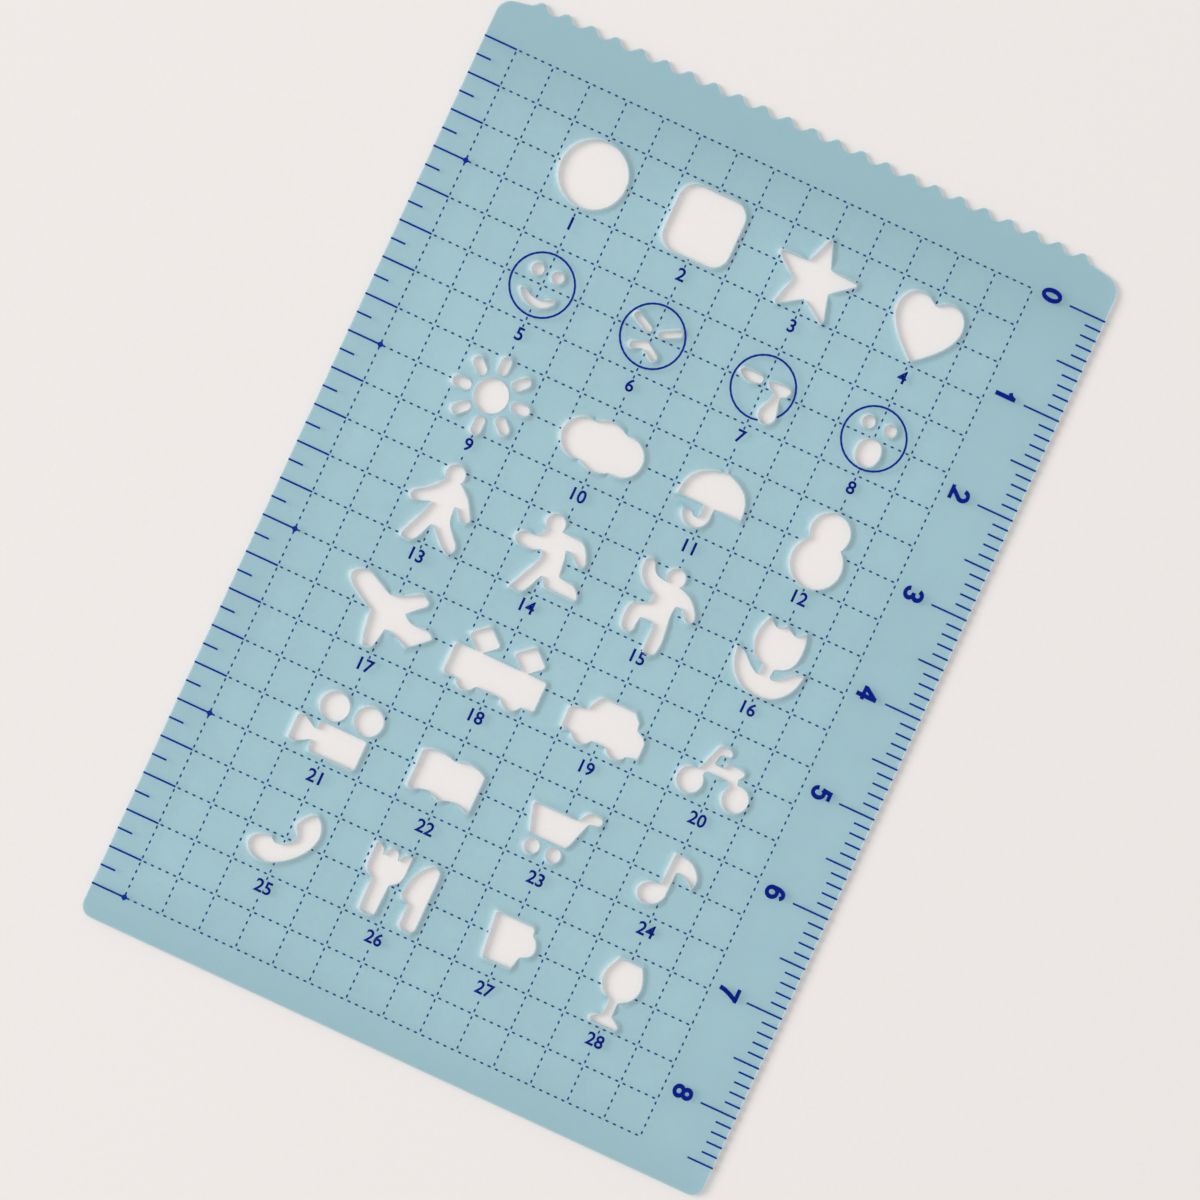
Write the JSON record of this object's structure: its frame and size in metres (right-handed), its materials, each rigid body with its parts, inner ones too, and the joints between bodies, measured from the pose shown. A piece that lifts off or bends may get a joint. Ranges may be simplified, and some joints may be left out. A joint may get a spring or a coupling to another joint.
{
  "type": "planner stencil",
  "caption": "Thin see-through plastic sheet with rows of small cut-out figures, a wavy top edge, a printed centimetre ruler and printed square marks.",
  "frame": {"origin": "middle of the sheet's outline, on its underside", "axes": "+Y up the sheet towards its wavy edge, +X towards the centimetre ruler, +Z out of the printed face"},
  "size_m": [0.0624, 0.093, 0.0005],
  "materials": {
    "sheet": "thin see-through pale blue plastic with a satin shine",
    "ink": "printed dark blue ink film"
  },
  "bodies": {
    "root": {"cm_tick_0": "ink", "cm_tick_1": "ink", "cm_tick_2": "ink", "cm_tick_3": "ink", "cm_tick_4": "ink", "cm_tick_5": "ink", "cm_tick_6": "ink", "cm_tick_7": "ink", "cm_tick_8": "ink", "cross_face_ring": "ink", "crying_face_ring": "ink", "half_cm_tick_0": "ink", "half_cm_tick_1": "ink", "half_cm_tick_2": "ink", "half_cm_tick_3": "ink", "half_cm_tick_4": "ink", "half_cm_tick_5": "ink", "half_cm_tick_6": "ink", "half_cm_tick_7": "ink", "half_cm_tick_8": "ink", "happy_face_ring": "ink", "numeral_0": "ink", "numeral_1": "ink", "numeral_2": "ink", "numeral_3": "ink", "numeral_4": "ink", "numeral_5": "ink", "numeral_6": "ink", "numeral_7": "ink", "numeral_8": "ink", "square_mark_0": "ink", "square_mark_10": "ink", "square_mark_15": "ink", "square_mark_20": "ink", "square_mark_5": "ink", "stencil_sheet": "sheet", "surprised_face_ring": "ink"}
  },
  "joints": []
}
